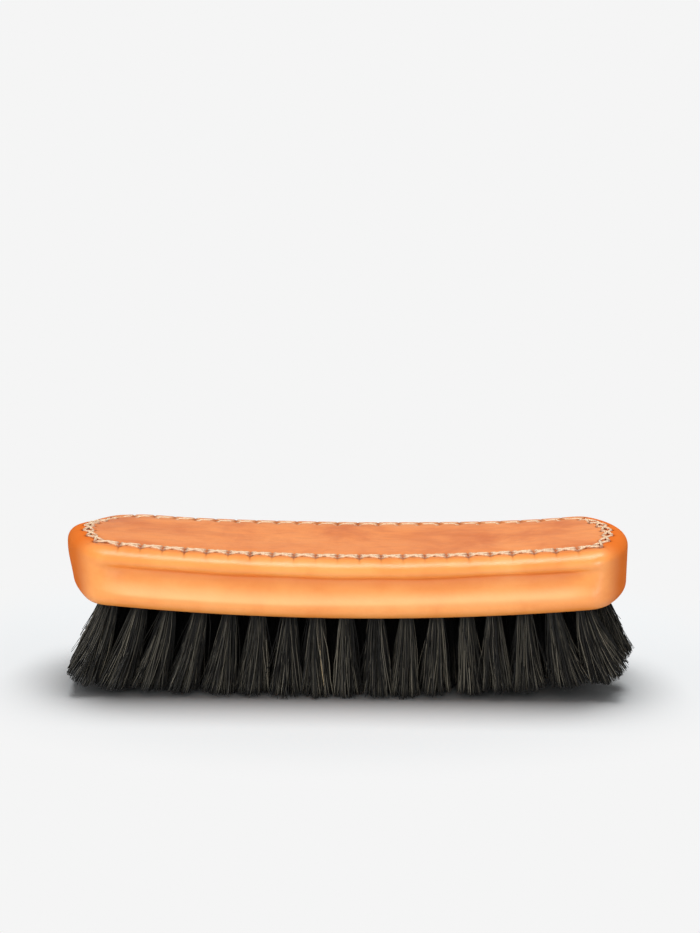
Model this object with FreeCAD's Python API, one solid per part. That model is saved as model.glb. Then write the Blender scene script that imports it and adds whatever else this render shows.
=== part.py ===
import FreeCAD, Part
import math
import os

from FreeCAD import Vector

# Shoe shine brush. A curved wooden block is dressed in leather: a side band that wraps its
# walls and turns under its lower edge, and a top panel sewn to the band with a cross stitch.
# Tufts of hair stand in holes in the underside, each folded round a flat metal anchor.
#
# Frame: X along the brush, Y across it, Z up. The origin is the middle of the patch of hair
# tips that the brush rests on. Lengths are in millimetres and angles in radians.

# Leather-covered back, measured over the leather
back_length = 179.0
back_width = 54.0
back_height = 19.0
underside_curve_radius = 810.0
end_bow_radius = 42.0
corner_radius = 9.5
shoulder_radius = 4.0
hem_radius = 3.5
hem_land = 0.8
leather_thickness = 1.8
glue_line = 0.2
block_chamfer = 1.2

# Finger groove along each long side: a round lobe, a crease below it and a hollow cove to a ledge
groove_depth = 2.6
lobe_wall = 0.2
lobe_drop = 1.8
cove_sag = 0.85
ledge_wall = 2.2

# Sewn seam between the side band and the top panel
seam_land = 0.8
seam_gap = 0.3
stitch_pitch = 6.8
stitch_width = 3.4
stitch_setback = 0.5
thread_width = 0.9
thread_thickness = 0.5
thread_clearance = 0.1

# Hair tufts and the holes that hold them
bristle_length = 25.7
rest_length = 40.0
tuft_rows = 5
tuft_pitch = 9.15
hole_width = 5.5
hole_depth = 9.5
hem_clearance = 0.7
tip_gap = 0.4
middle_splay_share = 0.03
end_splay_share = 0.085
width_splay_share = 0.15

# Flat anchors that hold the folded tufts, with room above them for the loop of hair
anchor_thickness = 0.5
anchor_height = 1.9
loop_height = 1.6

# Cutting tools reach this far past the material they cut
overrun = 5.0

# Sections of the side band: the widest spacing on the straight sides, and steps round the rest
side_spacing = 25.5
corner_steps = 4
end_steps = 3

# What is left of the groove's section where it has run out, which keeps its edges apart
run_out_share = 0.02

# Sizes that follow from the ones above
half_length = back_length / 2
half_width = back_width / 2
tip_curve_radius = underside_curve_radius + bristle_length
axis_height = math.sqrt(tip_curve_radius**2 - (rest_length / 2) ** 2)
end_center_x = half_length - end_bow_radius
corner_center_y = half_width - corner_radius
corner_center_x = end_center_x + math.sqrt((end_bow_radius - corner_radius) ** 2 - corner_center_y**2)
corner_end_angle = math.atan2(corner_center_y, corner_center_x - end_center_x)
side_steps = math.ceil(corner_center_x / side_spacing)
block_inset = leather_thickness + glue_line
lobe_height = back_height - shoulder_radius - lobe_wall
crease_height = lobe_height - lobe_drop
ledge_height = hem_radius + ledge_wall
seam_inset = shoulder_radius + stitch_width / 2 + seam_land
hem_inset = hem_radius + hem_land
hexagon_slope = math.tan(math.pi / 6)
half_hole = hole_width / 2
hole_point = half_hole / math.cos(math.pi / 6)
tuft_inset = hem_inset + hem_clearance + hole_point
row_pitch = 2 * (half_width - tuft_inset) / (tuft_rows - 1)

y_axis = Vector(0, 1, 0)
z_axis = Vector(0, 0, 1)
curve_center = Vector(0, 0, axis_height)


def curved_z(x, up):
    """Height at x of the surface that lies this far above the underside of the leather."""
    return axis_height - math.sqrt((underside_curve_radius - up) ** 2 - x**2)


def line(start, end):
    return Part.LineSegment(start, end).toShape()


def arc(start, middle, end):
    return Part.Arc(start, middle, end).toShape()


def flat_face(corners):
    return Part.Face(Part.makePolygon(corners + corners[:1]))


def mirrored(vector, side_x, side_y):
    return Vector(vector.x * side_x, vector.y * side_y, vector.z)


# Plan outline of the back: straight sides, round corners and bowed ends


def corner_point(inset, angle):
    """A point on the round corner at positive X and Y, moved in by inset."""
    radius = corner_radius - inset
    return Vector(corner_center_x + radius * math.cos(angle), corner_center_y + radius * math.sin(angle), 0)


def outline_wire(inset):
    """The whole outline moved in by inset, counter-clockwise from the right end."""
    joint = corner_point(inset, corner_end_angle)
    middle = corner_point(inset, (corner_end_angle + math.pi / 2) / 2)
    start = corner_point(inset, math.pi / 2)
    edges = []
    for side in (1, -1):
        end = Vector(side * (half_length - inset), 0, 0)
        near = [mirrored(point, side, side) for point in (joint, middle, start)]
        far = [mirrored(point, -side, side) for point in (start, middle, joint)]
        edges.append(arc(mirrored(joint, side, -side), end, near[0]))
        edges.append(arc(*near))
        edges.append(line(near[-1], far[0]))
        edges.append(arc(*far))
    return Part.Wire(edges)


def curved_slab(inset, low, high):
    """The outline, moved in by inset, between two heights above the leather's underside."""
    prism = Part.Face(outline_wire(inset)).extrude(curve_center)
    depth = back_width + 2 * overrun
    start = curve_center - y_axis * (depth / 2)
    below = Part.makeCylinder(underside_curve_radius - low, depth, start, y_axis)
    above = Part.makeCylinder(underside_curve_radius - high, depth, start, y_axis)
    return prism.common(below).cut(above).Solids[0]


# Leather side band


def outline_stations():
    """Points round the outline, each with its outward direction."""
    quarter = []
    for step in range(side_steps):
        quarter.append((Vector(corner_center_x * step / side_steps, half_width, 0), y_axis))
    for step in range(corner_steps):
        angle = math.pi / 2 + (corner_end_angle - math.pi / 2) * step / corner_steps
        quarter.append((corner_point(0, angle), Vector(math.cos(angle), math.sin(angle), 0)))
    for step in range(end_steps + 1):
        angle = corner_end_angle * (1 - step / end_steps)
        out = Vector(math.cos(angle), math.sin(angle), 0)
        quarter.append((Vector(end_center_x, 0, 0) + out * end_bow_radius, out))
    front = [(mirrored(point, 1, -1), mirrored(out, 1, -1)) for point, out in reversed(quarter[1:-1])]
    right = quarter + front
    return right + [(mirrored(point, -1, -1), mirrored(out, -1, -1)) for point, out in right]


def cove_middle(share):
    """Inset and height of the middle of the hollow cove, where this share of the groove is left."""
    depth = groove_depth * share
    drop = (crease_height - ledge_height) * share
    sag = cove_sag * share / math.hypot(depth, drop)
    return depth / 2 + drop * sag, crease_height - drop / 2 - depth * sag


def groove_section(out, radius):
    """Share, depth and heights of the groove, which runs out where its crease leaves a corner."""
    across = abs(out.y)
    share = run_out_share
    if across * radius > radius - groove_depth:
        share = max(share, (radius - (radius - groove_depth) / across) / groove_depth)
    lobe = crease_height + (lobe_height - crease_height) * share
    ledge = crease_height + (ledge_height - crease_height) * share
    return share, groove_depth * share, lobe, ledge


def band_section(point, out):
    """The leather in section: shoulder, lobe, crease, hollow cove, ledge and turned-under hem."""

    def at(inset, up):
        spot = point - out * inset
        return Vector(spot.x, spot.y, curved_z(spot.x, up))

    def rounding(radius, height, turn):
        """Halfway point of an arc that starts upright on the wall at this height."""
        return at(radius * (1 - math.cos(turn)), height + radius * math.sin(turn))

    eighth = math.pi / 4
    seam = seam_inset - seam_gap / 2
    shoulder_height = back_height - shoulder_radius
    share, depth, lobe, ledge = groove_section(out, corner_radius)
    lobe_radius = (depth**2 + (lobe - crease_height) ** 2) / (2 * depth)
    lobe_turn = math.atan2(lobe - crease_height, lobe_radius - depth)
    crease = at(depth, crease_height)
    lobe_edge = line(at(0, lobe), crease)
    cove_edge = line(crease, at(0, ledge))
    if share > run_out_share:
        lobe_edge = arc(at(0, lobe), rounding(lobe_radius, lobe, -lobe_turn / 2), crease)
        cove_edge = arc(crease, at(*cove_middle(share)), at(0, ledge))
    hem_middle = rounding(hem_radius, hem_radius, -eighth)
    edges = [
        line(at(seam, back_height), at(shoulder_radius, back_height)),
        arc(
            at(shoulder_radius, back_height),
            rounding(shoulder_radius, shoulder_height, eighth),
            at(0, shoulder_height),
        ),
        line(at(0, shoulder_height), at(0, lobe)),
        lobe_edge,
        cove_edge,
        line(at(0, ledge), at(0, hem_radius)),
        line(at(0, hem_radius), hem_middle),
        line(hem_middle, at(hem_radius, 0)),
    ]
    skin = leather_thickness
    bevel = skin + block_chamfer
    share, depth, lobe, ledge = groove_section(out, corner_radius - skin)
    cove_inset, cove_height = cove_middle(share)
    inside = [
        at(hem_radius, 0),
        at(hem_inset, 0),
        at(hem_inset, skin),
        at(skin, skin),
        at(skin, ledge),
        at(skin + cove_inset, cove_height),
        at(skin + depth, crease_height),
        at(skin, lobe),
        at(skin, back_height - bevel),
        at(bevel, back_height - skin),
        at(seam, back_height - skin),
        at(seam, back_height),
    ]
    edges += [line(start, end) for start, end in zip(inside, inside[1:])]
    return Part.Wire(edges)


def make_side_band():
    sections = [band_section(point, out) for point, out in outline_stations()]
    return Part.makeLoft(sections, True, True, True)


# Leather top panel


def make_top_panel():
    return curved_slab(seam_inset + seam_gap / 2, back_height - leather_thickness, back_height)


# Wooden block


def rim_edges(solid, up):
    """The edges of the curved face that lies this far above the leather's underside."""
    for face in solid.Faces:
        surface = face.Surface
        if isinstance(surface, Part.Cylinder) and math.isclose(surface.Radius, underside_curve_radius - up):
            return face.Edges


def groove_cutter(side):
    """A flat-sided groove that follows the curve of the back along one long wall."""
    wall = half_width - block_inset
    cove_inset, cove_height = cove_middle(1)
    corners = [
        (wall + overrun, lobe_height),
        (wall, lobe_height),
        (wall - groove_depth, crease_height),
        (wall - cove_inset, cove_height),
        (wall, ledge_height),
        (wall + overrun, ledge_height),
    ]
    face = flat_face([Vector(0, side * across, curved_z(0, up)) for across, up in corners])
    reach = math.degrees(math.asin((half_length + overrun) / underside_curve_radius))
    face.rotate(curve_center, y_axis, -reach)
    return face.revolve(curve_center, y_axis, 2 * reach)


def make_block(holes):
    top = back_height - block_inset
    block = curved_slab(block_inset, block_inset, top)
    block = block.makeChamfer(block_chamfer, rim_edges(block, top))
    return block.cut([groove_cutter(1), groove_cutter(-1)] + holes)


# Hair tufts with their holes and anchors


def row_reach(y):
    """Half the length of the tuft field at this distance from the middle."""
    across = abs(y)
    end_radius = end_bow_radius - tuft_inset
    if across < end_radius * math.sin(corner_end_angle):
        return end_center_x + math.sqrt(end_radius**2 - across**2)
    rise = across - corner_center_y
    return corner_center_x + math.sqrt(max(0, (corner_radius - tuft_inset) ** 2 - rise**2))


def row_sites(row):
    """Where the hairs of one row leave the block; every other row is set half a pitch over."""
    y = (row - (tuft_rows - 1) / 2) * row_pitch
    reach = row_reach(y)
    if row % 2:
        count = 2 * math.floor(reach / tuft_pitch + 1 / 2)
    else:
        count = 2 * math.floor(reach / tuft_pitch) + 1
    return [((place - (count - 1) / 2) * tuft_pitch, y) for place in range(count)]


def hexagon(center, along, half_along, half_across):
    """Corners of a hexagon with flats towards its own row and points towards the next rows."""
    flat = half_across - half_along * hexagon_slope
    corners = []
    for turn in (1, -1):
        side = center + along * (turn * half_along)
        corners.append(side - y_axis * (turn * flat))
        corners.append(side + y_axis * (turn * flat))
        corners.append(center + y_axis * (turn * half_across))
    return corners


def tapered_solid(upper, lower):
    """A closed solid between two outlines whose sides run parallel, pair by pair."""
    faces = [flat_face(upper), flat_face(lower)]
    for place in range(len(upper)):
        faces.append(flat_face([upper[place - 1], upper[place], lower[place], lower[place - 1]]))
    shell = Part.makeShell(faces)
    shell.sewShape()
    return Part.makeSolid(shell)


def make_tuft(x, y):
    """One tuft with the hole and the anchor that hold it.

    The hairs fill the hole at its mouth, narrow towards the anchor and spread to the tip, where
    the tufts' six-sided ends fit together. The splay grows towards the ends of the brush.
    """
    end_share = abs(x) / half_length
    tip_x = x * (1 + middle_splay_share + end_splay_share * end_share)
    spread = 1 + middle_splay_share + 2 * end_splay_share * end_share
    tip_z = max(0, curved_z(tip_x, -bristle_length))
    slope = tip_x / tip_curve_radius if tip_z else 0
    along = Vector(1, 0, slope).normalize()
    root = Vector(x, y, curved_z(x, block_inset))
    tip = Vector(tip_x, y * (1 + width_splay_share), tip_z)
    free_length = root.distanceToPoint(tip)
    down = (tip - root).normalize()
    bottom = root - down * hole_depth

    hole = flat_face(hexagon(bottom, along, half_hole, hole_point)).extrude(down * (hole_depth + overrun))

    half_tip = (tuft_pitch * spread - tip_gap) / 2
    tip_point = (row_pitch * (1 + width_splay_share) - tip_gap + half_tip * hexagon_slope) / 2
    seat = bottom + down * loop_height
    taper = (hole_depth - loop_height - anchor_height) / free_length
    half_fold = half_hole - (half_tip - half_hole) * taper
    fold_point = hole_point - (tip_point - hole_point) * taper
    fold = hexagon(seat + down * anchor_height, along, half_fold, fold_point)
    tuft = tapered_solid(fold, hexagon(tip, along, half_tip, tip_point))

    reach = along * half_hole
    half_anchor = y_axis * (anchor_thickness / 2)
    corners = [seat + reach + half_anchor, seat - reach + half_anchor, seat - reach - half_anchor]
    corners.append(seat + reach - half_anchor)
    anchor = flat_face(corners).extrude(down * anchor_height)
    return tuft, hole, anchor


# Seam thread


def stitch_holes():
    """Pairs of points, one on the panel and one on the band, evenly round the seam."""
    seam = outline_wire(seam_inset)
    count = round(seam.Length / stitch_pitch)
    spots = seam.discretize(count + 1)[:-1]
    pairs = []
    for place, spot in enumerate(spots):
        run = spots[(place + 1) % count] - spots[place - 1]
        out = run.cross(z_axis).normalize() * (stitch_width / 2)
        pairs.append((spot - out, spot + out))
    return pairs


def make_stitch(start, end, lift, crossing_share):
    """One leg of thread from hole to hole, lifted over a leg that it crosses at this share of its run."""
    low = Vector(start.x, start.y, curved_z(start.x, back_height))
    high = Vector(end.x, end.y, curved_z(end.x, back_height))
    run = (high - low).normalize()
    side = z_axis.cross(run).normalize()
    rise = run.cross(side)
    reach = low.distanceToPoint(high)
    length = reach - 2 * stitch_setback
    origin = low + run * stitch_setback - side * (thread_width / 2) + rise * thread_clearance
    bottom = [(0, 0), (length, 0)]
    if lift:
        crossing = reach * crossing_share - stitch_setback
        bottom.insert(1, (crossing, lift / (1 - thread_width / min(crossing, length - crossing))))
    top = [(distance, height + thread_thickness) for distance, height in reversed(bottom)]
    corners = [origin + run * distance + rise * height for distance, height in bottom + top]
    return flat_face(corners).extrude(side * thread_width)


def make_threads():
    """The two crossing threads of the seam, as the legs that show."""
    pairs = stitch_holes()
    under = []
    over = []
    for place, (inner, outer) in enumerate(pairs):
        next_inner, next_outer = pairs[(place + 1) % len(pairs)]
        inner_step = inner.distanceToPoint(next_inner)
        outer_step = outer.distanceToPoint(next_outer)
        crossing_share = outer_step / (inner_step + outer_step)
        under.append(make_stitch(inner, next_outer, 0, crossing_share))
        over.append(make_stitch(outer, next_inner, thread_thickness + thread_clearance, crossing_share))
    return Part.makeCompound(under), Part.makeCompound(over)


def export(node, shape):
    shape.exportStep("parts/" + node + ".step")


os.makedirs("parts", exist_ok=True)
under_thread, over_thread = make_threads()
tuft_holes = []
for row in range(tuft_rows):
    tufts, holes, anchors = zip(*(make_tuft(x, y) for x, y in row_sites(row)))
    export("tuft_row_" + str(row + 1), Part.makeCompound(tufts))
    export("anchor_row_" + str(row + 1), Part.makeCompound(anchors))
    tuft_holes.extend(holes)
export("wood_block", make_block(tuft_holes))
export("leather_side_band", make_side_band())
export("leather_top_panel", make_top_panel())
export("seam_thread_under", under_thread)
export("seam_thread_over", over_thread)
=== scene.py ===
import math

import bpy
import numpy as np
from mathutils import Matrix, Vector


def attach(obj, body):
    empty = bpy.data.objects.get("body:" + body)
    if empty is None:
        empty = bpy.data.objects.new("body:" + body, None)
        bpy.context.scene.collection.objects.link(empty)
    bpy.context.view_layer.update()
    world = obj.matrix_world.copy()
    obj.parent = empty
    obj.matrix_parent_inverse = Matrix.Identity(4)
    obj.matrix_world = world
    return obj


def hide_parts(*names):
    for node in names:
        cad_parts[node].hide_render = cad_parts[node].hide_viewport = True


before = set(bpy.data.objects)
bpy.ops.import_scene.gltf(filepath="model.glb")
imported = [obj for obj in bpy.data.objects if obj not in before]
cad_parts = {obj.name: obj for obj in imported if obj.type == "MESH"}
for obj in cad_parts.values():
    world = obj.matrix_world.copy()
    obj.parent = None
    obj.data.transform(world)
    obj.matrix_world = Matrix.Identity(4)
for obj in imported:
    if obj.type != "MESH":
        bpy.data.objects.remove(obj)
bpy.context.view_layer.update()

# Sizes in millimetres, the same as the solids'
HALF_LENGTH, HALF_WIDTH, BACK_HEIGHT = 89.5, 27.0, 19.0
UNDER_RADIUS, BRISTLE, REST_LENGTH = 810.0, 25.7, 40.0
BOW_RADIUS, CORNER_RADIUS = 42.0, 9.5
SHOULDER, HEM, HEM_INSET, SKIN = 4.0, 3.5, 4.3, 1.8
CREASE, LEDGE = 13.0, 5.7
SEAM_INSET, STITCH_WIDTH, STITCH_COUNT = 6.5, 3.4, 58
BLOCK_INSET, HEM_CLEARANCE, HALF_HOLE = 2.0, 0.7, 2.75
TUFT_PITCH, ROW_COUNT = 9.15, 5
MIDDLE_SPLAY, END_SPLAY, WIDTH_SPREAD = 0.03, 0.085, 1.15
AXIS_HEIGHT = math.sqrt((UNDER_RADIUS + BRISTLE) ** 2 - (REST_LENGTH / 2) ** 2)
END_X = HALF_LENGTH - BOW_RADIUS
CORNER_Y = HALF_WIDTH - CORNER_RADIUS
CORNER_X = END_X + math.sqrt((BOW_RADIUS - CORNER_RADIUS) ** 2 - CORNER_Y**2)
CORNER_ANGLE = math.atan2(CORNER_Y, CORNER_X - END_X)
TUFT_INSET = HEM_INSET + HEM_CLEARANCE + HALF_HOLE / math.cos(math.pi / 6)
ROW_PITCH = 2 * (HALF_WIDTH - TUFT_INSET) / (ROW_COUNT - 1)

# The soft shoulder starts further in than the solid's, close to the stitch holes
SHOULDER_INSET = 5.0
# The top is fuller along the back by this much, and lower at its left back corner
BACK_RISE, CORNER_DROP = 0.9, 2.3
# Metres in a millimetre
MM = 0.001


def curved_z(x, up):
    """Height at x of the surface this far above the underside of the leather."""
    return AXIS_HEIGHT - np.sqrt((UNDER_RADIUS - up) ** 2 - np.asarray(x) ** 2)


def smooth(low, high, value):
    """A smooth step from 0 at low to 1 at high."""
    t = np.clip((np.asarray(value) - low) / (high - low), 0, 1)
    return t * t * (3 - 2 * t)


def bell(value, middle, width):
    """1 at the middle, falling to 0 on both sides."""
    return np.exp(-(((value - middle) / width) ** 2))


def leather_z(x, y, up):
    """Like curved_z, with the top fuller along the back and lower at its left back corner."""
    fuller = BACK_RISE * (1 - smooth(10, 70, np.abs(x))) - CORNER_DROP * smooth(64, 88, -x)
    return curved_z(x, up) + fuller * smooth(9, 19, up) * smooth(-5, 22, y)


def ripple(values, count, seed):
    """A smooth closed random curve round the outline, about -1 to 1."""
    source = np.random.default_rng(seed)
    total = np.zeros_like(values)
    for wave in range(1, count + 1):
        turn = source.uniform(0, 2 * math.pi)
        total += np.sin(2 * math.pi * wave * values + turn) * source.uniform(0.4, 1)
    return total / math.sqrt(count)


# Outline of the back


def outline(count):
    """Points, outward directions and places along the outline, evenly spaced at the seam."""
    radius, bow = CORNER_RADIUS - SEAM_INSET, BOW_RADIUS - SEAM_INSET
    corner = math.pi / 2 - CORNER_ANGLE
    lengths = [bow * CORNER_ANGLE, radius * corner, 2 * CORNER_X, radius * corner, bow * CORNER_ANGLE]
    half = sum(lengths)
    ends = np.cumsum(lengths)
    points, outs = [], []
    for place in np.arange(count) / count * 2 * half:
        turn = 1 if place < half else -1
        run = place % half
        if run < ends[0]:
            angle, centre, size = run / bow, (END_X, 0), BOW_RADIUS
        elif run < ends[1]:
            angle = CORNER_ANGLE + (run - ends[0]) / radius
            centre, size = (CORNER_X, CORNER_Y), CORNER_RADIUS
        elif run < ends[2]:
            points.append((turn * (CORNER_X - (run - ends[1])), turn * HALF_WIDTH))
            outs.append((0, turn))
            continue
        elif run < ends[3]:
            angle = math.pi / 2 + (run - ends[2]) / radius
            centre, size = (-CORNER_X, CORNER_Y), CORNER_RADIUS
        else:
            angle = math.pi - CORNER_ANGLE + (run - ends[3]) / bow
            centre, size = (-END_X, 0), BOW_RADIUS
        out = (math.cos(angle), math.sin(angle))
        points.append((turn * (centre[0] + size * out[0]), turn * (centre[1] + size * out[1])))
        outs.append((turn * out[0], turn * out[1]))
    return np.array(points), np.array(outs), np.arange(count) / count


PER_STITCH = 12
STATIONS = STITCH_COUNT * PER_STITCH
POINTS, OUTS, PLACES = outline(STATIONS)
SEAM = POINTS - OUTS * SEAM_INSET
STITCH_PITCH = np.linalg.norm(np.diff(SEAM, axis=0), axis=1).sum() / STITCH_COUNT

# How hard each stitch pulls the leather, harder on the left
PULL = np.random.default_rng(5).uniform(0.55, 1.0, STITCH_COUNT)
PULL[POINTS[::PER_STITCH, 0] < -25] *= 1.35

# How far a stitch hole and the dimple round it reach, along the seam and across it
HOLE_REACH, DIMPLE_REACH = (0.7, 0.6), (1.3, 1.1)
# How far the leather sinks at its cut edges, and how wide
EDGE_DROP, EDGE_WIDTH = 0.3, 0.55


def stitch_dip(inset, hole_inset, along, across):
    """Dimples in the leather round the holes at one inset, as deep as each stitch pulls."""
    steps = np.arange(STATIONS)[:, None]
    nearest = np.round(steps / PER_STITCH)
    offset = (steps - nearest * PER_STITCH) / PER_STITCH * STITCH_PITCH
    dip = np.exp(-((offset / along) ** 2) - ((inset - hole_inset) / across) ** 2)
    return dip * PULL[nearest.astype(int) % STITCH_COUNT]


# Mesh helpers


def mesh_object(name, points, faces, values):
    """A smooth mesh from points in millimetres; values are named numbers, one for each point."""
    mesh = bpy.data.meshes.new(name)
    points = np.asarray(points, dtype=np.float32).reshape(-1, 3) * MM
    faces = np.asarray(faces, dtype=np.int32)
    mesh.vertices.add(len(points))
    mesh.vertices.foreach_set("co", points.ravel())
    corners = faces.shape[1]
    mesh.loops.add(faces.size)
    mesh.loops.foreach_set("vertex_index", faces.ravel())
    mesh.polygons.add(len(faces))
    mesh.polygons.foreach_set("loop_start", np.arange(len(faces), dtype=np.int32) * corners)
    mesh.polygons.foreach_set("use_smooth", np.full(len(faces), True))
    mesh.update(calc_edges=True)
    for key, numbers in values.items():
        layer = mesh.attributes.new(key, "FLOAT", "POINT")
        layer.data.foreach_set("value", np.asarray(numbers, dtype=np.float32).ravel())
    mesh.validate()
    piece = bpy.data.objects.new(name, mesh)
    bpy.context.scene.collection.objects.link(piece)
    return piece


def ring_faces(columns):
    """Quads of a grid that has a row at each station of the outline, joined in a ring."""
    row = np.arange(STATIONS)[:, None] * columns
    following = np.roll(row, -1, 0)
    column = np.arange(columns - 1)[None, :]
    corners = [row + column + 1, following + column + 1, following + column, row + column]
    return np.stack(corners, -1).reshape(-1, 4)


def tube(path, radii, sides):
    """Rings round paths of shape (count, rings, 3) and the faces that join them."""
    tiny = 1e-12
    ahead = np.gradient(path, axis=1)
    ahead /= np.linalg.norm(ahead, axis=2, keepdims=True) + tiny
    # A slanting direction, to start each ring from
    guide = np.array([0.31, 0.87, 0.39])
    first = np.cross(ahead, guide)
    first /= np.linalg.norm(first, axis=2, keepdims=True) + tiny
    second = np.cross(ahead, first)
    angles = np.arange(sides) / sides * 2 * math.pi
    ring = first[:, :, None, :] * np.cos(angles)[None, None, :, None]
    ring = ring + second[:, :, None, :] * np.sin(angles)[None, None, :, None]
    points = path[:, :, None, :] + ring * radii[..., None, None]
    count, rings = path.shape[:2]
    start = np.arange(count)[:, None, None] * (rings * sides)
    step = np.arange(rings - 1)[None, :, None] * sides
    side = np.arange(sides)[None, None, :]
    following = (side + 1) % sides
    faces = [start + step + side, start + step + following]
    faces += [start + step + sides + following, start + step + sides + side]
    return points.reshape(-1, 3), np.stack(faces, -1).reshape(-1, 4)


# Leather side band

# The finger groove's section as (inset, height): a round lobe, then a hollow cove out to the ledge
GROOVE = [(0, 14.9), (0.25, 14.25), (0.9, 13.65), (1.7, 13.3), (2.35, 12.8), (2.6, 12.1), (2.5, 11.2)]
GROOVE += [(2.25, 10.2), (1.9, 9.2), (1.45, 8.2), (0.95, 7.3), (0.4, 6.4), (0.05, 5.9), (0, 5.5)]
# The groove fades between these distances from the middle
GROOVE_FADE = (67, 80)
# The band's cut edge stops this far short of the seam's middle
EDGE_GAP = 0.1
# Unevenness of the wall and of the crease, and how far the left end leans in
WALL_WAVE, CREASE_WAVE, END_LEAN = 0.09, 0.16, 1.7


def resampled(raw, spacing):
    """A polyline at even spacing."""
    steps = np.linalg.norm(np.diff(raw, axis=0), axis=1)
    run = np.concatenate([[0], np.cumsum(steps)])
    count = int(run[-1] / spacing) + 1
    at = np.linspace(0, run[-1], count)
    return np.stack([np.interp(at, run, raw[:, axis]) for axis in range(raw.shape[1])], 1)


def softened(line, width):
    """A polyline smoothed over a width in samples, with its ends kept."""
    reach = int(3 * width)
    kernel = np.exp(-((np.arange(-reach, reach + 1) / width) ** 2) / 2)
    kernel /= kernel.sum()
    before = 2 * line[0] - line[reach:0:-1]
    after = 2 * line[-1] - line[-2 : -reach - 2 : -1]
    padded = np.concatenate([before, line, after])
    return np.stack([np.convolve(column, kernel, "valid") for column in padded.T], 1)


def band_profile():
    """Rows of (grooved inset, height, plain inset, plain height) from the seam round to the hem's edge."""
    rows = []
    for t in np.linspace(0, 1, 20):
        inset = SEAM_INSET - EDGE_GAP + (SHOULDER_INSET - SEAM_INSET + EDGE_GAP) * t
        rows.append((inset, BACK_HEIGHT))
    for turn in np.linspace(0, math.pi / 2, 60)[1:]:
        inset = SHOULDER_INSET * (1 - math.sin(turn))
        rows.append((inset, BACK_HEIGHT - SHOULDER * (1 - math.cos(turn))))
    top = len(rows)
    rows += GROOVE
    bottom = len(rows)
    for turn in np.linspace(0, math.pi / 2, 50):
        rows.append((HEM - HEM * math.cos(turn), HEM - HEM * math.sin(turn)))
    for t in np.linspace(0, 1, 8)[1:]:
        rows.append((HEM + (HEM_INSET - HEM) * t, 0))
    for t in np.linspace(0, 1, 16)[1:]:
        rows.append((HEM_INSET, SKIN * t))
    rows = np.array(rows, dtype=float)
    plain = rows.copy()
    plain[top:bottom, 0] = 0
    spacing, width, kept_step = 0.1, 5, 4
    both = np.concatenate([rows, plain], 1)
    return softened(resampled(both, spacing), width)[::kept_step]


def make_band():
    """The side band: its section carried round the outline, with the groove on the long sides."""
    profile = band_profile()
    x, y = POINTS[:, 0], POINTS[:, 1]
    share = (1 - smooth(*GROOVE_FADE, np.abs(x)))[:, None]
    wave = ripple(PLACES, 22, 11)[:, None] * WALL_WAVE
    inset = profile[None, :, 0] * share + profile[None, :, 2] * (1 - share)
    up = profile[None, :, 1] * share + profile[None, :, 3] * (1 - share)
    # Masks of the painted shade in the crease and the painted highlight along the ledge; the crease's
    # shade is softer below
    softness = np.where(up < CREASE, 1.7, 0.9)
    shown = ((1 - smooth(56, 74, -x)) * (1 - smooth(68, 77, x)))[:, None]
    groove = bell(up, CREASE, softness) * smooth(0.8, 2.2, inset) * shown * (up < 15)
    ledge = bell(up - LEDGE, 1.0, 1.8) * share
    inset = inset + wave * smooth(0, 2, up) * (1 - smooth(15, 18, up))
    # The left end leans in towards its lower edge
    left_end = smooth(78, 89, -x)[:, None]
    inset = inset + END_LEAN * left_end * (1 - smooth(1, 14, up)) * (profile[None, :, 0] < HEM)
    up = up + ripple(PLACES, 14, 12)[:, None] * CREASE_WAVE * bell(up, CREASE, 2.2) * share
    # The ledge runs a little lower on the left
    lower = (0.25 + 0.75 * smooth(-40, 40, -x))[:, None]
    up = up - lower * bell(up - LEDGE, 0.6, 1.9) * share

    # The leather sinks at the seam, at the stitch holes and in short creases below them
    on_top = smooth(15.0, 17.5, up)
    edge = bell(inset, SEAM_INSET, EDGE_WIDTH) * on_top
    hole_inset = SEAM_INSET - STITCH_WIDTH / 2
    hole = stitch_dip(inset, hole_inset + 0.1, *HOLE_REACH) * on_top
    dimple = stitch_dip(inset, hole_inset, *DIMPLE_REACH) * on_top
    crease = stitch_dip(inset, hole_inset - 1.6, 0.4, 1.7) ** 1.5 * on_top
    crease = crease * (1 - 0.75 * smooth(72, 80, np.abs(x)))[:, None]
    drop = EDGE_DROP * edge + 0.15 * dimple + 0.25 * hole + 0.4 * crease
    slope = np.clip(1 - inset / SHOULDER_INSET, 0, 1) * on_top
    up = up - drop * (1 - slope)
    inset = inset + drop * slope
    px = x[:, None] - OUTS[:, :1] * inset
    py = y[:, None] - OUTS[:, 1:] * inset
    pz = leather_z(px, py, up)
    # Painted shade in the stitch holes and short creases, along the seam's sunken edge and under the hem's
    # lower edge
    hole_shade = stitch_dip(inset, hole_inset + 0.2, 0.85, 0.75) * on_top
    hem = 1 - smooth(0.05, 0.6, up)
    dark = np.clip(1.4 * hole_shade + 0.35 * crease + 0.5 * edge + 0.65 * hem, 0, 1)
    # The crease mask also paints shade on the band's top next to the seam
    groove = groove + 0.7 * smooth(2.8, 4.4, inset) * on_top
    # Painted shade on the end faces makes them darker than the long sides
    ends = np.broadcast_to(smooth(78, 86, np.abs(x))[:, None], up.shape)
    return mesh_object(
        "band_leather",
        np.stack([px, py, pz], -1),
        ring_faces(len(profile)),
        {"dark": dark, "crease": groove, "ends": ends, "ledge": ledge},
    )


# Leather top panel


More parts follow.
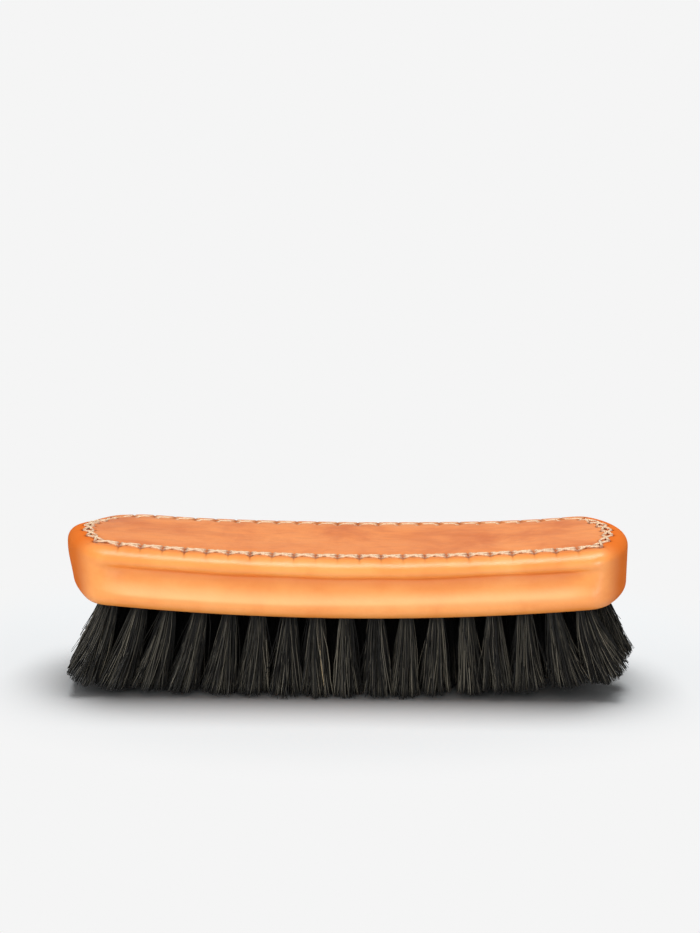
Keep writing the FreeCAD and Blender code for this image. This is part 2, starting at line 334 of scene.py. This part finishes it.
def make_panel():
    """The top panel: from the seam in to a line along its middle, slightly crowned."""
    axis = np.stack([SEAM[:, 0] * 0.78, np.zeros(STATIONS)], 1)
    # Rows are closer together near the stitches
    depths = np.concatenate([np.linspace(0, 5.2, 19), np.linspace(5.2, 20.3, 24)[1:]])
    share = depths / depths[-1]
    base = SEAM[:, None, :] + (axis - SEAM)[:, None, :] * share[None, :, None]
    x, y = base[..., 0], base[..., 1]
    inset = np.linalg.norm(base - SEAM[:, None, :], axis=2) + SEAM_INSET
    hole_inset = SEAM_INSET + STITCH_WIDTH / 2
    edge = bell(inset, SEAM_INSET, EDGE_WIDTH)
    hole = stitch_dip(inset, hole_inset, *HOLE_REACH)
    dimple = stitch_dip(inset, hole_inset, *DIMPLE_REACH)
    pull = stitch_dip(inset, hole_inset + 1.6, 0.6, 1.8)
    drop = EDGE_DROP * edge + 0.22 * dimple + 0.5 * hole + 0.07 * pull
    crown = 0.28 * smooth(SEAM_INSET, SEAM_INSET + 7, inset)
    swell = 0.06 * np.sin(x * 0.21 + 1.3) * np.sin(y * 0.27 + x * 0.05)
    up = BACK_HEIGHT - drop + crown + swell * smooth(SEAM_INSET, SEAM_INSET + 8, inset)
    # Painted shade in the stitch holes, along the seam's sunken edge and a little beside it
    hole_shade = stitch_dip(inset, hole_inset, 0.8, 0.7)
    near_seam = bell(inset, SEAM_INSET, 2.8)
    dark = np.clip(1.2 * hole_shade + 0.5 * edge + 0.1 * near_seam, 0, 1)
    points = np.stack([x, y, leather_z(x, y, up)], -1)
    return mesh_object("panel_leather", points, ring_faces(len(depths)), {"dark": dark})


# Seam thread

LEG_RINGS, PLY_SIDES, PLY_RADIUS = 25, 8, 0.3
# Turns of the plies in a leg, and how far a ply stands from the middle, sideways and up
PLY_TURNS, PLY_ASIDE, PLY_ABOVE = 2.6, 0.17, 0.09


def near_ends(t, reach):
    """1 at both ends of a run from 0 to 1, falling to 0 at this reach."""
    return np.clip(1 - t / reach, 0, 1) + np.clip(1 - (1 - t) / reach, 0, 1)


def stitch_legs(over):
    """Two twisted plies for each leg of one of the crossing threads."""
    source = np.random.default_rng(31 + over)
    spots = np.arange(STITCH_COUNT) * PER_STITCH
    inner = POINTS[spots] - OUTS[spots] * (SEAM_INSET + STITCH_WIDTH / 2)
    outer = POINTS[spots] - OUTS[spots] * (SEAM_INSET - STITCH_WIDTH / 2)
    start, end = (outer, np.roll(inner, -1, 0)) if over else (inner, np.roll(outer, -1, 0))
    t = np.linspace(0, 1, LEG_RINGS)
    arc = np.sin(math.pi * t)
    run = end - start
    flat = start[:, None, :] + run[:, None, :] * t[None, :, None]
    run /= np.linalg.norm(run, axis=1, keepdims=True)
    side = np.stack([-run[:, 1], run[:, 0]], 1)
    bend = source.uniform(-0.22, 0.22, STITCH_COUNT)
    flat += side[:, None, :] * (bend[:, None] * arc[None, :])[..., None]
    # A leg plunges into its holes at both ends, and an over leg rises where it crosses
    plunge = 0.8 * near_ends(t, 0.12) ** 2
    rise = 0.08 + 0.06 * arc
    if over:
        rise = rise + 0.26 * bell(t, 0.5, 0.2)
    height = BACK_HEIGHT + rise[None, :] - plunge[None, :] + source.normal(0, 0.03, (STITCH_COUNT, 1))
    # Along the back the thread is pulled into the leather
    height = height - 0.44 * smooth(8, 19, flat[..., 1])
    core = np.concatenate([flat, leather_z(flat[..., 0], flat[..., 1], height)[..., None]], -1)
    aside = np.concatenate([side, np.zeros((STITCH_COUNT, 1))], 1)[:, None, :]
    above = np.array([0, 0, 1.0])
    twist = 2 * math.pi * (t * PLY_TURNS)
    turn = source.uniform(0, 6, (STITCH_COUNT, 1))
    paths = []
    for ply in (0, math.pi):
        phase = twist[None, :] + ply + turn
        path = core + aside * (PLY_ASIDE * np.cos(phase))[..., None]
        paths.append(path + above * (PLY_ABOVE * np.sin(phase))[..., None])
    path = np.concatenate(paths)
    points, faces = tube(path, np.full(path.shape[:2], PLY_RADIUS), PLY_SIDES)
    # Painted shade where each leg plunges into its holes
    plunge_shade = np.broadcast_to(near_ends(t, 0.17)[None, :, None], (*path.shape[:2], PLY_SIDES))
    return mesh_object("thread_over" if over else "thread_under", points, faces, {"plunge_shade": plunge_shade})


# Hair

HAIR_RINGS, HAIR_SIDES = 7, 3
# Tufts beyond the first distance are at the ends, and those beyond the second are the outermost
END_TUFTS, LAST_TUFTS = 70, 73.6
# The roots' half width across the row, and how deep in the block the hairs start
ROOT_HALF_WIDTH, ROOT_DEPTH = 1.8, 2.5
# How far tufts lean out on the left and at the right end, and how far they stand straighter before it
LEFT_LEAN, RIGHT_LEAN, RIGHT_STRAIGHTER = 4.4, 3.6, 1.5
# How much wider they are there, as shares of their width
LEFT_WIDER, RIGHT_WIDER = 0.16, 0.24
# Locks round a tuft, in an inner and an outer ring that part at this share of its radius
LOCKS, OUTER_RING = 9, 0.62
# The trim line's tilt, and where it starts to rise at the ends
TRIM_TILT, TRIM_END = 0.0135, 83.0
# Tips are held in at these distances along and across the brush, and stay this far above the floor
TIP_LENGTH, TIP_WIDTH, TIP_LOWEST = 84, 28.9, 0.05
# How far past that length they still reach, on the left and on the right
LEFT_ROOM, RIGHT_ROOM = 4.2, 8.6
# The share of pale hairs
PALE_HAIRS = 0.0006


def row_reach(y):
    """How far from the middle the tufts of a row can stand."""
    across = abs(y)
    bow = BOW_RADIUS - TUFT_INSET
    if across < bow * math.sin(CORNER_ANGLE):
        return END_X + math.sqrt(bow**2 - across**2)
    return CORNER_X + math.sqrt(max(0, (CORNER_RADIUS - TUFT_INSET) ** 2 - (across - CORNER_Y) ** 2))


def row_sites(row):
    """Places of a row's tufts; every second row is shifted by half a pitch."""
    y = (row - (ROW_COUNT - 1) / 2) * ROW_PITCH
    reach = row_reach(y)
    if row % 2:
        count = 2 * math.floor(reach / TUFT_PITCH + 0.5)
    else:
        count = 2 * math.floor(reach / TUFT_PITCH) + 1
    return [((place - (count - 1) / 2) * TUFT_PITCH, y) for place in range(count)]


def tip_height(x):
    """Trim line of the hair: level in the middle, rising to the ends, a little longer on the left."""
    level = np.maximum(0, curved_z(x, -BRISTLE)) + TRIM_TILT * x * smooth(10, 40, np.abs(x))
    rise = np.where(np.asarray(x) < 0, 0.7, 0.8)
    return np.maximum(TIP_LOWEST, level + rise * np.maximum(0, np.abs(x) - TRIM_END))


def tuft_hairs(source, x, y, count, at_end):
    """Paths, radii and shades of the hairs of one tuft."""
    end_share = abs(x) / HALF_LENGTH
    # The tufts on the left lean out further; on the right only the last ones do. These are all wider
    lean = x * (MIDDLE_SPLAY + END_SPLAY * end_share) - LEFT_LEAN * smooth(0, 72, -x)
    lean += RIGHT_LEAN * smooth(56, 74, x) - RIGHT_STRAIGHTER * smooth(10, 45, x)
    spread = 1 + MIDDLE_SPLAY + 2 * END_SPLAY * end_share
    wider = 1 + RIGHT_WIDER * smooth(52, 66, x) + LEFT_WIDER * smooth(5, 45, -x)
    half_x = TUFT_PITCH * spread / 2 * wider
    half_y = ROW_PITCH * WIDTH_SPREAD / 2
    full = source.uniform(0.88, 1.08)
    level = source.uniform(-0.45, 0.45)
    sway = source.normal(0, 0.7)
    root_shift = source.normal(0, 0.3)
    root_size = source.uniform(1.25, 1.65)
    turn = source.uniform(0, 2 * math.pi, count)
    size = np.sqrt(source.uniform(0, 1, count))
    root_x = x + root_shift + root_size * size * np.cos(turn)
    root_y = y + ROOT_HALF_WIDTH * size * np.sin(turn)
    root_z = curved_z(root_x, BLOCK_INSET + ROOT_DEPTH)

    # Hairs cling together in locks towards their tips
    outer = size > OUTER_RING
    lock = np.floor(turn / (2 * math.pi) * LOCKS) + LOCKS * outer
    lock_shift = source.uniform(-0.3, 0.3, 2 * LOCKS)[lock.astype(int)]
    lock_turn = (lock % LOCKS + 0.5 + lock_shift) / LOCKS * 2 * math.pi
    lock_size = np.where(outer, 0.86, 0.38)
    cling = source.uniform(0.25, 0.75, count)
    across = size * np.cos(turn) * (1 - cling) + lock_size * np.cos(lock_turn) * cling
    deep = size * np.sin(turn) * (1 - cling) + lock_size * np.sin(lock_turn) * cling
    jitter = source.normal(0, 0.1, (2, count))
    # Most hairs keep to their tuft; some stray towards the next one
    stray = source.uniform(0, 1, count) < (0.02 if at_end else 0.08)
    wild = np.where(stray, source.uniform(0.9, 1.55, count), 1.0)
    tip_x = x + lean + sway + half_x * full * wild * (across * 1.06 + jitter[0])
    tip_y = y * WIDTH_SPREAD + half_y * full * wild * (deep * 1.1 + jitter[1])
    # The outer hairs at both ends are held in
    over = np.maximum(0, np.abs(tip_x) - TIP_LENGTH)
    room = np.where(tip_x < 0, LEFT_ROOM, RIGHT_ROOM)
    tip_x = np.where(over > 0, np.sign(tip_x) * (TIP_LENGTH + room * np.tanh(over / room)), tip_x)
    tip_y = np.clip(tip_y, -TIP_WIDTH, TIP_WIDTH)
    cut = source.exponential(0.07, count) + np.where(stray, source.uniform(0, 2.5, count), 0)
    dome = across**2 + 0.5 * deep**2
    tip_z = np.maximum(tip_height(tip_x) + cut + dome + level, TIP_LOWEST)

    # Each hair bows and waves a little on its way down
    curve = source.uniform(0.3, 0.65, count)
    bow = source.normal(0, 0.45, (2, count))
    wave = source.normal(0, 0.28, (2, count))
    phase = source.uniform(0, 6.28, count)
    t = np.linspace(0, 1, HAIR_RINGS)
    bulge = t[None, :] + curve[:, None] * (t * (t - 1))[None, :]
    arc = np.sin(math.pi * t)[None, :]
    curl = np.sin(2 * math.pi * t[None, :] + phase[:, None])
    path = np.empty((count, HAIR_RINGS, 3))
    for axis, (root, tip) in enumerate(((root_x, tip_x), (root_y, tip_y))):
        path[..., axis] = root[:, None] + (tip - root)[:, None] * bulge
        path[..., axis] += bow[axis][:, None] * arc
        path[..., axis] += wave[axis][:, None] * curl * arc
    path[..., 2] = root_z[:, None] + (tip_z - root_z)[:, None] * t[None, :]
    # The outermost tufts bend in under the hem at the left and out at the right
    held_in = max(0, -LAST_TUFTS - x) - 0.3 * max(0, x - LAST_TUFTS)
    path[..., 0] -= np.sign(x) * held_in * (smooth(0, 0.2, t) * (1 - t))[None, :]

    radius = source.uniform(0.085, 0.16, count)
    shade = np.minimum(source.beta(0.95, 1.85, count) * 0.82, 0.66)
    pale = source.uniform(0, 1, count) < PALE_HAIRS
    shade = np.where(pale, source.uniform(0.85, 1, count), shade)
    return path, radius[:, None] * (1 - 0.3 * t[None, :] ** 4), shade


def make_row(row, usual):
    """One row of tufts as separate hairs, of which most tufts have the usual number."""
    source = np.random.default_rng(100 + row)
    inner = 0 < row < ROW_COUNT - 1
    paths, radii, shades, depths = [], [], [], []
    for x, y in row_sites(row):
        # The tufts at the ends are fuller, and inner ones there are not hidden, so they get no painted
        # shade between rows
        at_end = abs(x) > END_TUFTS
        count = int(usual * (1.6 if inner else 1.25)) if at_end else usual
        path, radius, shade = tuft_hairs(source, x, y, count, at_end)
        paths.append(path)
        radii.append(radius)
        shades.append(shade)
        depths.append(np.full(count, inner and not at_end))
    points, faces = tube(np.concatenate(paths), np.concatenate(radii), HAIR_SIDES)
    shade = np.concatenate(shades)
    shape = (len(shade), HAIR_RINGS, HAIR_SIDES)
    shade = np.broadcast_to(shade[:, None, None], shape).ravel()
    along = np.broadcast_to(np.linspace(0, 1, HAIR_RINGS)[None, :, None], shape).ravel()
    deep = np.broadcast_to(np.concatenate(depths)[:, None, None], shape).ravel()
    values = {"shade": shade, "along": along, "deep": deep}
    piece = mesh_object("hair_row_%d" % (row + 1), points, faces, values)
    # The layout for baking has the shade and the depth across it, and the way along the hair up it
    layer = piece.data.uv_layers.new(name="OFBake")
    corner = np.empty(len(piece.data.loops), dtype=np.int32)
    piece.data.loops.foreach_get("vertex_index", corner)
    u = 0.01 + 0.48 * (shade[corner] + deep[corner]) + 0.003 * (corner % HAIR_SIDES)
    v = 0.02 + 0.96 * along[corner]
    layer.data.foreach_set("uv", np.stack([u, v], 1).astype(np.float32).ravel())
    return piece


# Materials


class Nodes:
    """A short way to write a material's nodes."""

    def __init__(self, name):
        self.material = bpy.data.materials.new(name)
        self.material.use_nodes = True
        self.tree = self.material.node_tree
        self.shader = self.tree.nodes["Principled BSDF"]

    def put(self, socket, value):
        """Link a socket to another one, or set it to a number or a colour."""
        if isinstance(value, bpy.types.NodeSocket):
            self.tree.links.new(value, socket)
        else:
            socket.default_value = (*value, 1) if isinstance(value, tuple) else value

    def fill(self, node, inputs):
        """Put values on a node's inputs, whose names have underscores for spaces."""
        for key, value in inputs.items():
            self.put(node.inputs[key.replace("_", " ")], value)

    def use(self, **inputs):
        """Put values on the shader; gives the material."""
        self.fill(self.shader, inputs)
        return self.material

    def add(self, kind, **inputs):
        node = self.tree.nodes.new(kind)
        self.fill(node, inputs)
        return node

    def value(self, name):
        """Named numbers that a mesh carries."""
        node = self.add("ShaderNodeAttribute")
        node.attribute_name = name
        return node.outputs["Fac"]

    def place(self, scale=(1, 1, 1), shift=(0, 0, 0)):
        """The place on the object, scaled and then shifted."""
        where = self.add("ShaderNodeTexCoord").outputs["Object"]
        node = self.add("ShaderNodeMapping", Vector=where)
        node.inputs["Location"].default_value = shift
        node.inputs["Scale"].default_value = scale
        return node.outputs["Vector"]

    def noise(self, where, scale, detail, roughness, distortion=0.0):
        node = self.add("ShaderNodeTexNoise", Vector=where, Scale=scale, Detail=detail)
        self.fill(node, {"Roughness": roughness, "Distortion": distortion})
        return node.outputs["Fac"]

    def maths(self, kind, first, second):
        node = self.add("ShaderNodeMath")
        node.operation = kind
        self.put(node.inputs[0], first)
        self.put(node.inputs[1], second)
        return node.outputs[0]

    def scaled(self, value, factor, offset):
        """A value times a factor, plus an offset."""
        return self.maths("ADD", self.maths("MULTIPLY", value, factor), offset)

    def ramp(self, factor, *stops):
        node = self.add("ShaderNodeValToRGB", Fac=factor)
        points = node.color_ramp.elements
        while len(points) < len(stops):
            points.new(0.5)
        for point, (place, colour) in zip(points, stops):
            point.position = place
            point.color = (*colour, 1)
        return node.outputs["Color"]

    def mix(self, factor, first, second):
        node = self.add("ShaderNodeMix")
        node.data_type = "RGBA"
        # A mix node's colour sockets follow those of its other kinds of data
        for place, value in ((0, factor), (6, first), (7, second)):
            self.put(node.inputs[place], value)
        return node.outputs[2]

    def tinted(self, colour, mask, share, tint):
        """A colour with a share of a tint where a mask is 1."""
        return self.mix(self.maths("MULTIPLY", mask, share), colour, tint)

    def bump(self, height, strength, distance, normal=None):
        node = self.add("ShaderNodeBump", Height=height, Strength=strength, Distance=distance)
        if normal is not None:
            self.put(node.inputs["Normal"], normal)
        return node.outputs["Normal"]


def srgb(red, green, blue):
    """A colour written in display values from 0 to 255, as linear numbers."""

    def linear(value):
        value /= 255
        return value / 12.92 if value < 0.04045 else ((value + 0.055) / 1.055) ** 2.4

    return linear(red), linear(green), linear(blue)


def grey(value):
    return value, value, value


def leather(name, light, middle, deep, streaks):
    """Nodes, colour, normal and roughness of leather: mottled, streaked and with a fine grain."""
    n = Nodes(name)
    where = n.place()
    cloud = n.noise(where, 38.0, 4.0, 0.6, 0.4)
    colour = n.ramp(cloud, (0.3, deep), (0.5, middle), (0.72, light))
    streak = n.noise(n.place((1.0, 3.2, 3.2)), 62.0, 5.0, 0.65, 1.2)
    colour = n.tinted(colour, n.ramp(streak, (0.46, grey(0)), (0.72, grey(1))), streaks, deep)
    pores = n.noise(where, 1500.0, 3.0, 0.7)
    colour = n.tinted(colour, n.ramp(pores, (0.52, grey(0)), (0.78, grey(1))), 0.22, deep)
    grain = n.add("ShaderNodeTexVoronoi", Vector=where, Scale=1250.0).outputs["Distance"]
    fine = n.noise(where, 2600.0, 2.0, 0.6)
    soft = n.noise(where, 170.0, 3.0, 0.55)
    normal = n.bump(soft, 0.22, 0.0011)
    normal = n.bump(grain, 0.16, 0.00012, normal)
    normal = n.bump(fine, 0.12, 0.00006, normal)
    rough = n.scaled(n.noise(where, 210.0, 3.0, 0.6), 0.18, 0.31)
    return n, colour, normal, rough


# Colour of the painted shade in the stitch holes, creases and seam and under the hem
PAINTED_SHADE = srgb(106, 34, 10)

side, side_colour, side_normal, side_rough = leather(
    "leather_side", srgb(253, 168, 88), srgb(250, 158, 74), srgb(240, 140, 54), 0.36
)
side_ends, side_dark = side.value("ends"), side.value("dark")
# Painted shade in the crease and next to the seam
side_colour = side.tinted(side_colour, side.value("crease"), 0.5, srgb(210, 92, 18))
# Painted shade on the end faces
side_colour = side.tinted(side_colour, side_ends, 0.88, srgb(226, 112, 40))
# Painted highlight along the ledge
side_colour = side.tinted(side_colour, side.value("ledge"), 0.5, srgb(253, 200, 140))
# Painted shade in the holes, creases and seam and under the hem
side_colour = side.mix(side_dark, side_colour, PAINTED_SHADE)
side_rough = side.scaled(side_ends, 0.4, side_rough)
# The end faces are dull, and so is the leather under the painted shade round the holes, in the creases,
# along the seam and at the hem
side_gloss = side.scaled(side_ends, -0.88, 0.9)
side_gloss = side.maths("MULTIPLY", side_gloss, side.maths("SUBTRACT", 1.0, side_dark))
side_material = side.use(
    Base_Color=side_colour, Roughness=side_rough, Specular_IOR_Level=side_gloss, Normal=side_normal
)

top, top_colour, top_normal, top_rough = leather(
    "leather_top", srgb(245, 157, 90), srgb(238, 146, 82), srgb(212, 114, 60), 0.5
)
top_dark = top.value("dark")
# Painted shade in the holes and along the seam
top_colour = top.mix(top_dark, top_colour, PAINTED_SHADE)
top_rough = top.scaled(top_dark, 0.5, top_rough)
top_material = top.use(
    Base_Color=top_colour, Roughness=top_rough, Specular_IOR_Level=0.15, Normal=top_normal
)

thread = Nodes("waxed_thread")
fibre = thread.noise(thread.place(), 5200.0, 3.0, 0.6)
thread_colour = thread.ramp(fibre, (0.3, srgb(206, 172, 138)), (0.7, srgb(252, 226, 194)))
# Painted shade where the thread plunges into the holes
thread_colour = thread.tinted(thread_colour, thread.value("plunge_shade"), 0.95, srgb(144, 54, 18))
thread_normal = thread.bump(fibre, 0.3, 0.00008)
thread_material = thread.use(
    Base_Color=thread_colour, Roughness=0.62, Specular_IOR_Level=0.0, Normal=thread_normal
)

hair = Nodes("horsehair")
hair_colour = hair.ramp(
    hair.value("shade"),
    (0.0, srgb(6, 6, 6)),
    (0.25, srgb(24, 23, 20)),
    (0.6, srgb(84, 80, 70)),
    (0.82, srgb(138, 130, 114)),
    (1.0, srgb(184, 160, 120)),
)
# Painted shade makes the hair black at its root under the hem and dark at its cut tip, and further down
# where it lies deep between other rows
along, deep = hair.value("along"), hair.value("deep")
open_row_shade = hair.ramp(along, (0.12, grey(1)), (0.3, grey(0)), (0.92, grey(0)), (1.0, grey(0.85)))
deep_row_shade = hair.ramp(along, (0.55, grey(1)), (0.9, grey(0.3)), (1.0, grey(0.7)))
hair_colour = hair.mix(hair.mix(deep, open_row_shade, deep_row_shade), hair_colour, srgb(3, 3, 3))
hair_rough = hair.scaled(deep, 0.5, 0.33)
hair_material = hair.use(Base_Color=hair_colour, Roughness=hair_rough, Specular_IOR_Level=0.5)

wood = Nodes("beech")
figure = wood.noise(wood.place((1.0, 9.0, 9.0)), 90.0, 5.0, 0.6, 0.6)
flecks = wood.noise(wood.place((1.0, 14.0, 14.0)), 420.0, 3.0, 0.6)
fleck_mask = wood.ramp(flecks, (0.5, grey(0)), (0.7, grey(1)))
wood_colour = wood.ramp(figure, (0.3, srgb(166, 122, 80)), (0.7, srgb(204, 164, 116)))
wood_colour = wood.tinted(wood_colour, fleck_mask, 0.4, srgb(128, 88, 54))
wood_material = wood.use(Base_Color=wood_colour, Roughness=0.68, Normal=wood.bump(flecks, 0.25, 0.0001))

steel = Nodes("anchor_wire")
brushed = steel.noise(steel.place((1.0, 30.0, 30.0)), 700.0, 3.0, 0.6)
steel_colour = steel.ramp(brushed, (0.3, srgb(150, 150, 148)), (0.7, srgb(196, 196, 192)))
steel_rough = steel.scaled(brushed, 0.2, 0.28)
steel_material = steel.use(Base_Color=steel_colour, Roughness=steel_rough, Metallic=1.0)

# Pieces of the brush, in collections that lamps can light apart

lit = bpy.data.collections.new("brush")
brushed_hair = bpy.data.collections.new("hair")
cover = bpy.data.collections.new("cover")
bpy.context.scene.collection.children.link(lit)
lit.children.link(brushed_hair)
lit.children.link(cover)


def dress(piece, material, slot, *nodes):
    """Give a piece its material and its place in the frame."""
    (brushed_hair if slot == "horsehair" else cover).objects.link(piece)
    piece.data.materials.append(material)
    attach(piece, "root")
    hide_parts(*nodes)


dress(make_band(), side_material, "side_leather", "leather_side_band")
dress(make_panel(), top_material, "top_leather", "leather_top_panel")
dress(stitch_legs(False), thread_material, "linen_thread", "seam_thread_under")
dress(stitch_legs(True), thread_material, "linen_thread", "seam_thread_over")
for row, hairs in enumerate((300, 240, 220, 240, 300)):
    dress(make_row(row, hairs), hair_material, "horsehair", "tuft_row_%d" % (row + 1))

# The block and the anchors keep their solids
for name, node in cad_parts.items():
    if name.startswith("anchor"):
        material = steel_material
    elif name == "wood_block":
        material = wood_material
    else:
        continue
    lit.objects.link(node)
    node.data.materials.clear()
    node.data.materials.append(material)

# Floor, light and camera

BACKGROUND = (*srgb(245, 245, 245), 1)
FLOOR_REACH = 12.0


def make_floor():
    """A pale floor that is as bright as the background outside an oval round the brush."""
    mesh = bpy.data.meshes.new("floor")
    reach = FLOOR_REACH
    corners = [(-reach, -reach, 0), (reach, -reach, 0), (reach, reach, 0), (-reach, reach, 0)]
    mesh.from_pydata(corners, [], [(0, 1, 2, 3)])
    floor = bpy.data.objects.new("floor", mesh)
    bpy.context.scene.collection.objects.link(floor)
    n = Nodes("pale_floor")
    n.use(Base_Color=(0.485, 0.5, 0.508), Roughness=0.9, Specular_IOR_Level=0.0)
    glow = n.add("ShaderNodeEmission")
    glow.inputs["Color"].default_value = BACKGROUND
    length = n.add("ShaderNodeVectorMath")
    length.operation = "LENGTH"
    n.put(length.inputs[0], n.place((1 / 0.138, 1 / 0.11, 1), (0, -0.25, 0)))
    oval = n.add("ShaderNodeMapRange", Value=length.outputs["Value"], From_Min=0.72, From_Max=1.15)
    oval.interpolation_type = "SMOOTHSTEP"
    path = n.add("ShaderNodeLightPath")
    seen = n.maths("MAXIMUM", path.outputs["Is Camera Ray"], path.outputs["Is Glossy Ray"])
    blend = n.add("ShaderNodeMixShader", Fac=n.maths("MULTIPLY", oval.outputs["Result"], seen))
    n.put(blend.inputs[1], n.shader.outputs[0])
    n.put(blend.inputs[2], glow.outputs[0])
    n.put(n.tree.nodes["Material Output"].inputs["Surface"], blend.outputs[0])
    mesh.materials.append(n.material)
    return floor


def make_world():
    """A plain background for the camera, and a dim white sky for everything else."""
    world = bpy.data.worlds.new("studio")
    bpy.context.scene.world = world
    world.use_nodes = True
    nodes, links = world.node_tree.nodes, world.node_tree.links
    sky = nodes["Background"]
    sky.inputs["Color"].default_value = (1, 1, 1, 1)
    sky.inputs["Strength"].default_value = 0.3
    plain = nodes.new("ShaderNodeBackground")
    plain.inputs["Color"].default_value = BACKGROUND
    path = nodes.new("ShaderNodeLightPath")
    either = nodes.new("ShaderNodeMixShader")
    links.new(path.outputs["Is Camera Ray"], either.inputs[0])
    links.new(sky.outputs[0], either.inputs[1])
    links.new(plain.outputs[0], either.inputs[2])
    links.new(either.outputs[0], nodes["World Output"].inputs["Surface"])


def lamp(name, place, target, size, power, receivers):
    """A rectangular lamp, turned to its target, that lights one collection."""
    data = bpy.data.lights.new(name, "AREA")
    data.shape = "RECTANGLE"
    data.size, data.size_y = size
    data.energy = power
    light = bpy.data.objects.new(name, data)
    light.location = place
    light.rotation_euler = (Vector(target) - Vector(place)).to_track_quat("-Z", "Y").to_euler()
    bpy.context.scene.collection.objects.link(light)
    light.light_linking.receiver_collection = receivers
    return light


ground = bpy.data.collections.new("ground")
ground.objects.link(make_floor())
make_world()

# Separate lamps light the brush and the floor, so that the floor's shadow can be as deep as it looks
LEATHER_MIDDLE = (0, 0, 0.035)
lamp("key_softbox", (0.12, -0.2, 0.85), LEATHER_MIDDLE, (0.9, 0.3), 5.5, lit)
front_fill = lamp("front_fill", (-0.28, -1.0, 0.3), LEATHER_MIDDLE, (1.2, 0.3), 6.7, lit)
front_fill.visible_glossy = False
back_fill = lamp("back_fill", (0.15, 0.9, 0.3), LEATHER_MIDDLE, (1.0, 0.4), 4.2, lit)
back_fill.visible_glossy = False
lamp("hair_glint", (-0.45, -0.65, 0.6), (0, 0, 0.015), (0.7, 0.3), 4.0, brushed_hair)
right_strip = lamp("right_strip", (0.45, -0.68, 0.12), (0.08, -0.025, 0.035), (0.1, 0.3), 1.6, cover)
right_strip.visible_diffuse = False
lamp("floor_softbox", (0.02, 0.2, 0.8), (0, 0, 0), (0.55, 0.5), 11.8, ground)

# Camera fitted to the brush's outline in the photograph: the picture's size in pixels, the pixel
# where the target lies, the target's distance and the width of a pixel there, both in metres
PICTURE_WIDTH, PICTURE_HEIGHT = 700, 933
TARGET_X, TARGET_Y = 348.02, 542.5
DISTANCE, PIXEL = 0.600, 0.0003214
SENSOR = 36.0
elevation, yaw, roll = math.radians(13.83), math.radians(-0.42), math.radians(0.70)
level = math.cos(elevation)
back = Vector((math.sin(yaw) * level, -math.cos(yaw) * level, math.sin(elevation)))
right = Vector((math.cos(yaw), math.sin(yaw), 0))
upward = back.cross(right)
right, upward = (
    right * math.cos(roll) + upward * math.sin(roll),
    upward * math.cos(roll) - right * math.sin(roll),
)
target = Vector((0, 0, 0.04392))
camera = bpy.data.objects.new("camera", bpy.data.cameras.new("camera"))
camera.data.sensor_fit = "HORIZONTAL"
camera.data.sensor_width = SENSOR
camera.data.lens = SENSOR * DISTANCE / PIXEL / PICTURE_WIDTH
camera.data.shift_x = (PICTURE_WIDTH / 2 - TARGET_X) / PICTURE_WIDTH
camera.data.shift_y = (TARGET_Y - PICTURE_HEIGHT / 2) / PICTURE_WIDTH
camera.data.clip_start = 0.01
camera.matrix_world = Matrix(
    (
        (right.x, upward.x, back.x, target.x + back.x * DISTANCE),
        (right.y, upward.y, back.y, target.y + back.y * DISTANCE),
        (right.z, upward.z, back.z, target.z + back.z * DISTANCE),
        (0, 0, 0, 1),
    )
)
bpy.context.scene.collection.objects.link(camera)
bpy.context.scene.camera = camera
bpy.context.scene.view_settings.view_transform = "Standard"
